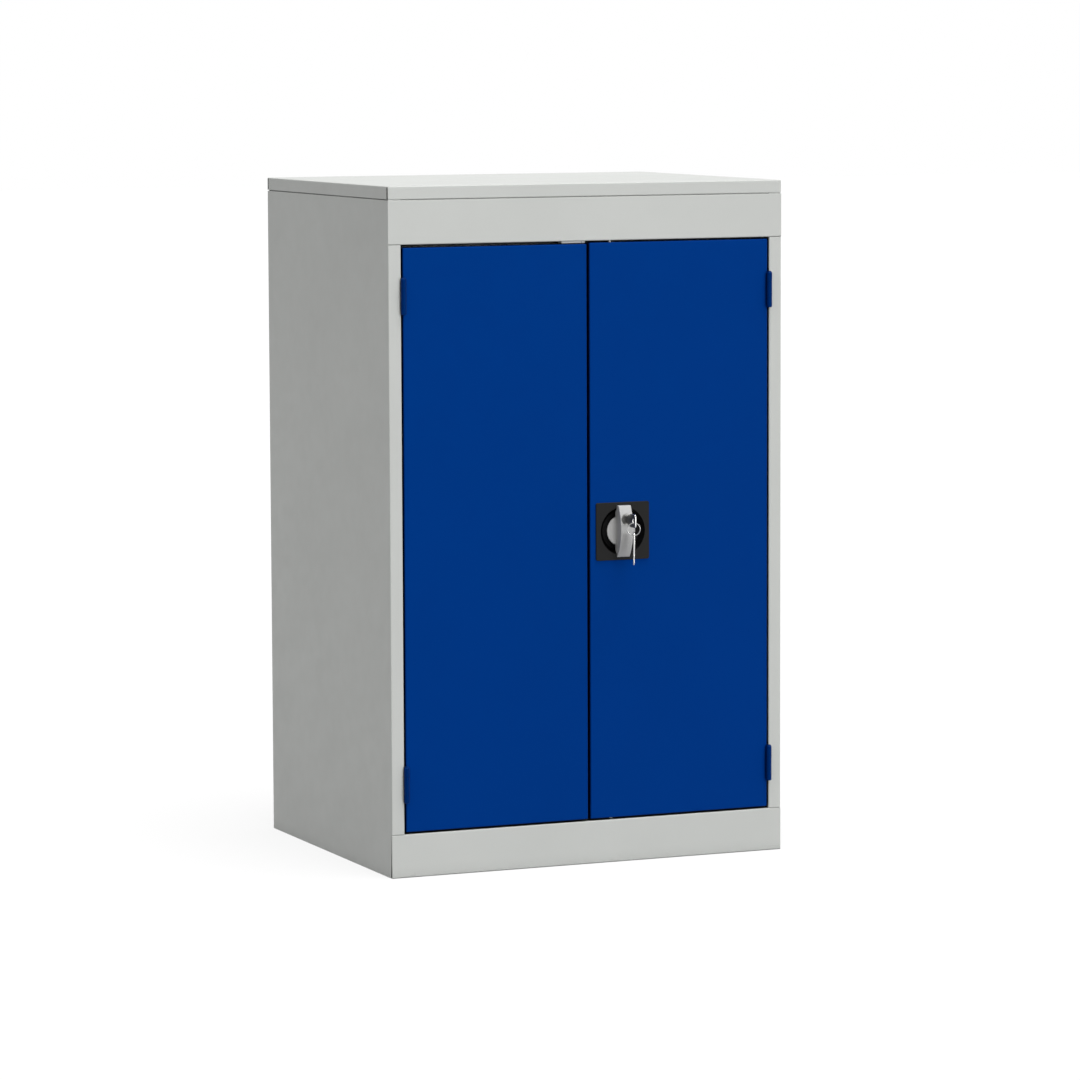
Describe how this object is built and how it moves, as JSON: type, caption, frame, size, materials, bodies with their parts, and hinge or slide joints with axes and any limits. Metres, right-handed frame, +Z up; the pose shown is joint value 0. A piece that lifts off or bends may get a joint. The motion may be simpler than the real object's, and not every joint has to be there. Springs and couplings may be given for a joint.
{
  "type": "tool cabinet",
  "caption": "Free-standing sheet steel tool cabinet: grey body with a flat lid, blue hinged doors, a sunk swivel handle lock with rods, and lift-out shelves.",
  "frame": {"origin": "middle of the footprint, on the floor", "axes": "+X to the right seen from the front, +Y from the doors to the back panel, +Z up"},
  "size_m": [0.624, 0.5511, 1],
  "materials": {
    "body_paint": "light grey powder coat, fine orange peel, satin",
    "door_paint": "deep blue powder coat, fine orange peel, satin",
    "zinc_steel": "bright zinc plated steel",
    "cast_handle": "satin die casting",
    "lock_metal": "nickel plated",
    "lock_plate": "black moulded nylon, fine grain",
    "guide_plastic": "black moulded nylon",
    "catch_plastic": "grey moulded plastic",
    "magnet": "dark sintered ferrite",
    "rubber": "soft black rubber"
  },
  "bodies": {
    "cabinet_body": {"left_side_panel": "body_paint", "right_side_panel": "body_paint", "back_panel": "body_paint", "base_pan": "body_paint", "floor_stiffener": "body_paint", "header_rail": "body_paint", "roof_panel": "body_paint", "top_cover": "body_paint", "left_front_upright": "body_paint", "right_front_upright": "body_paint", "left_rear_upright": "body_paint", "right_rear_upright": "body_paint", "upright_rivets": "zinc_steel", "lower_shelf_clips": "zinc_steel", "upper_shelf_clips": "zinc_steel", "door_bumpers": "rubber", "catch_housing": "catch_plastic", "catch_magnet": "magnet", "top_rod_keeper": "zinc_steel", "bottom_rod_keeper": "zinc_steel", "left_top_hinge_frame_leaf": "door_paint", "left_bottom_hinge_frame_leaf": "door_paint", "right_top_hinge_frame_leaf": "door_paint", "right_bottom_hinge_frame_leaf": "door_paint", "left_top_hinge_pin": "zinc_steel", "left_bottom_hinge_pin": "zinc_steel", "right_top_hinge_pin": "zinc_steel", "right_bottom_hinge_pin": "zinc_steel"},
    "left_door": {"left_door_panel": "door_paint", "left_door_stiffener": "door_paint", "left_top_hinge_door_leaf": "door_paint", "left_bottom_hinge_door_leaf": "door_paint"},
    "right_door": {"right_door_panel": "door_paint", "right_door_stiffener": "door_paint", "lock_escutcheon": "lock_plate", "lock_bracket": "zinc_steel", "lock_bracket_screws": "zinc_steel", "top_rod_guide": "guide_plastic", "bottom_rod_guide": "guide_plastic", "right_top_hinge_door_leaf": "door_paint", "right_bottom_hinge_door_leaf": "door_paint"},
    "handle": {"turn_handle": "cast_handle", "lock_cylinder": "lock_metal", "lock_cam": "zinc_steel", "cam_screw": "zinc_steel"},
    "plug": {"cylinder_plug": "lock_metal"},
    "inserted_key": {"key": "lock_metal"},
    "ring": {"key_ring": "lock_metal"},
    "hanging_key": {"spare_key": "lock_metal"},
    "upper_locking_rod": {"upper_rod": "zinc_steel"},
    "lower_locking_rod": {"lower_rod": "zinc_steel"},
    "lower_shelf_tray": {"lower_shelf": "body_paint", "lower_shelf_stiffener": "body_paint"},
    "upper_shelf_tray": {"upper_shelf": "body_paint", "upper_shelf_stiffener": "body_paint"}
  },
  "joints": [
    {"name": "left_door_hinge", "type": "hinge", "parent": "cabinet_body", "child": "left_door", "pos_m": [-0.2904, -0.2546, 0.4905], "axis": [0, 0, -1], "range_deg": [0, 180]},
    {"name": "right_door_hinge", "type": "hinge", "parent": "cabinet_body", "child": "right_door", "pos_m": [0.2904, -0.2546, 0.4905], "axis": [0, 0, 1], "range_deg": [0, 180]},
    {"name": "handle_turn", "type": "hinge", "parent": "right_door", "child": "handle", "pos_m": [0.0535, -0.245, 0.4905], "axis": [0, 1, 0], "range_deg": [0, 90]},
    {"name": "key_turn", "type": "hinge", "parent": "handle", "child": "plug", "pos_m": [0.0535, -0.258, 0.5085], "axis": [0, 1, 0], "range_deg": [0, 90]},
    {"name": "key_pull", "type": "slide", "parent": "plug", "child": "inserted_key", "axis": [0, -1, 0], "range_m": [0, 0.02]},
    {"name": "ring_swing", "type": "hinge", "parent": "inserted_key", "child": "ring", "pos_m": [0.0535, -0.2916, 0.50585], "axis": [-0.9336, 0.3584, 0], "range_deg": [-10, 60]},
    {"name": "spare_key_swing", "type": "hinge", "parent": "ring", "child": "hanging_key", "pos_m": [0.0535, -0.2916, 0.48765], "axis": [-0.9336, 0.3584, 0], "range_deg": [-10, 45]},
    {"name": "upper_rod_lift", "type": "slide", "parent": "right_door", "child": "upper_locking_rod", "axis": [0, 0, 1], "range_m": [0, 0.0199]},
    {"name": "lower_rod_drop", "type": "slide", "parent": "right_door", "child": "lower_locking_rod", "axis": [0, 0, -1], "range_m": [0, 0.0199]},
    {"name": "lower_shelf_lift", "type": "slide", "parent": "cabinet_body", "child": "lower_shelf_tray", "axis": [0, 0, 1], "range_m": [0, 0.06]},
    {"name": "upper_shelf_lift", "type": "slide", "parent": "cabinet_body", "child": "upper_shelf_tray", "axis": [0, 0, 1], "range_m": [0, 0.06]}
  ],
  "couplings": [
    {"joint": "upper_rod_lift", "follows": "handle_turn", "m_per_rad": 0.012604},
    {"joint": "lower_rod_drop", "follows": "handle_turn", "m_per_rad": 0.012604}
  ]
}
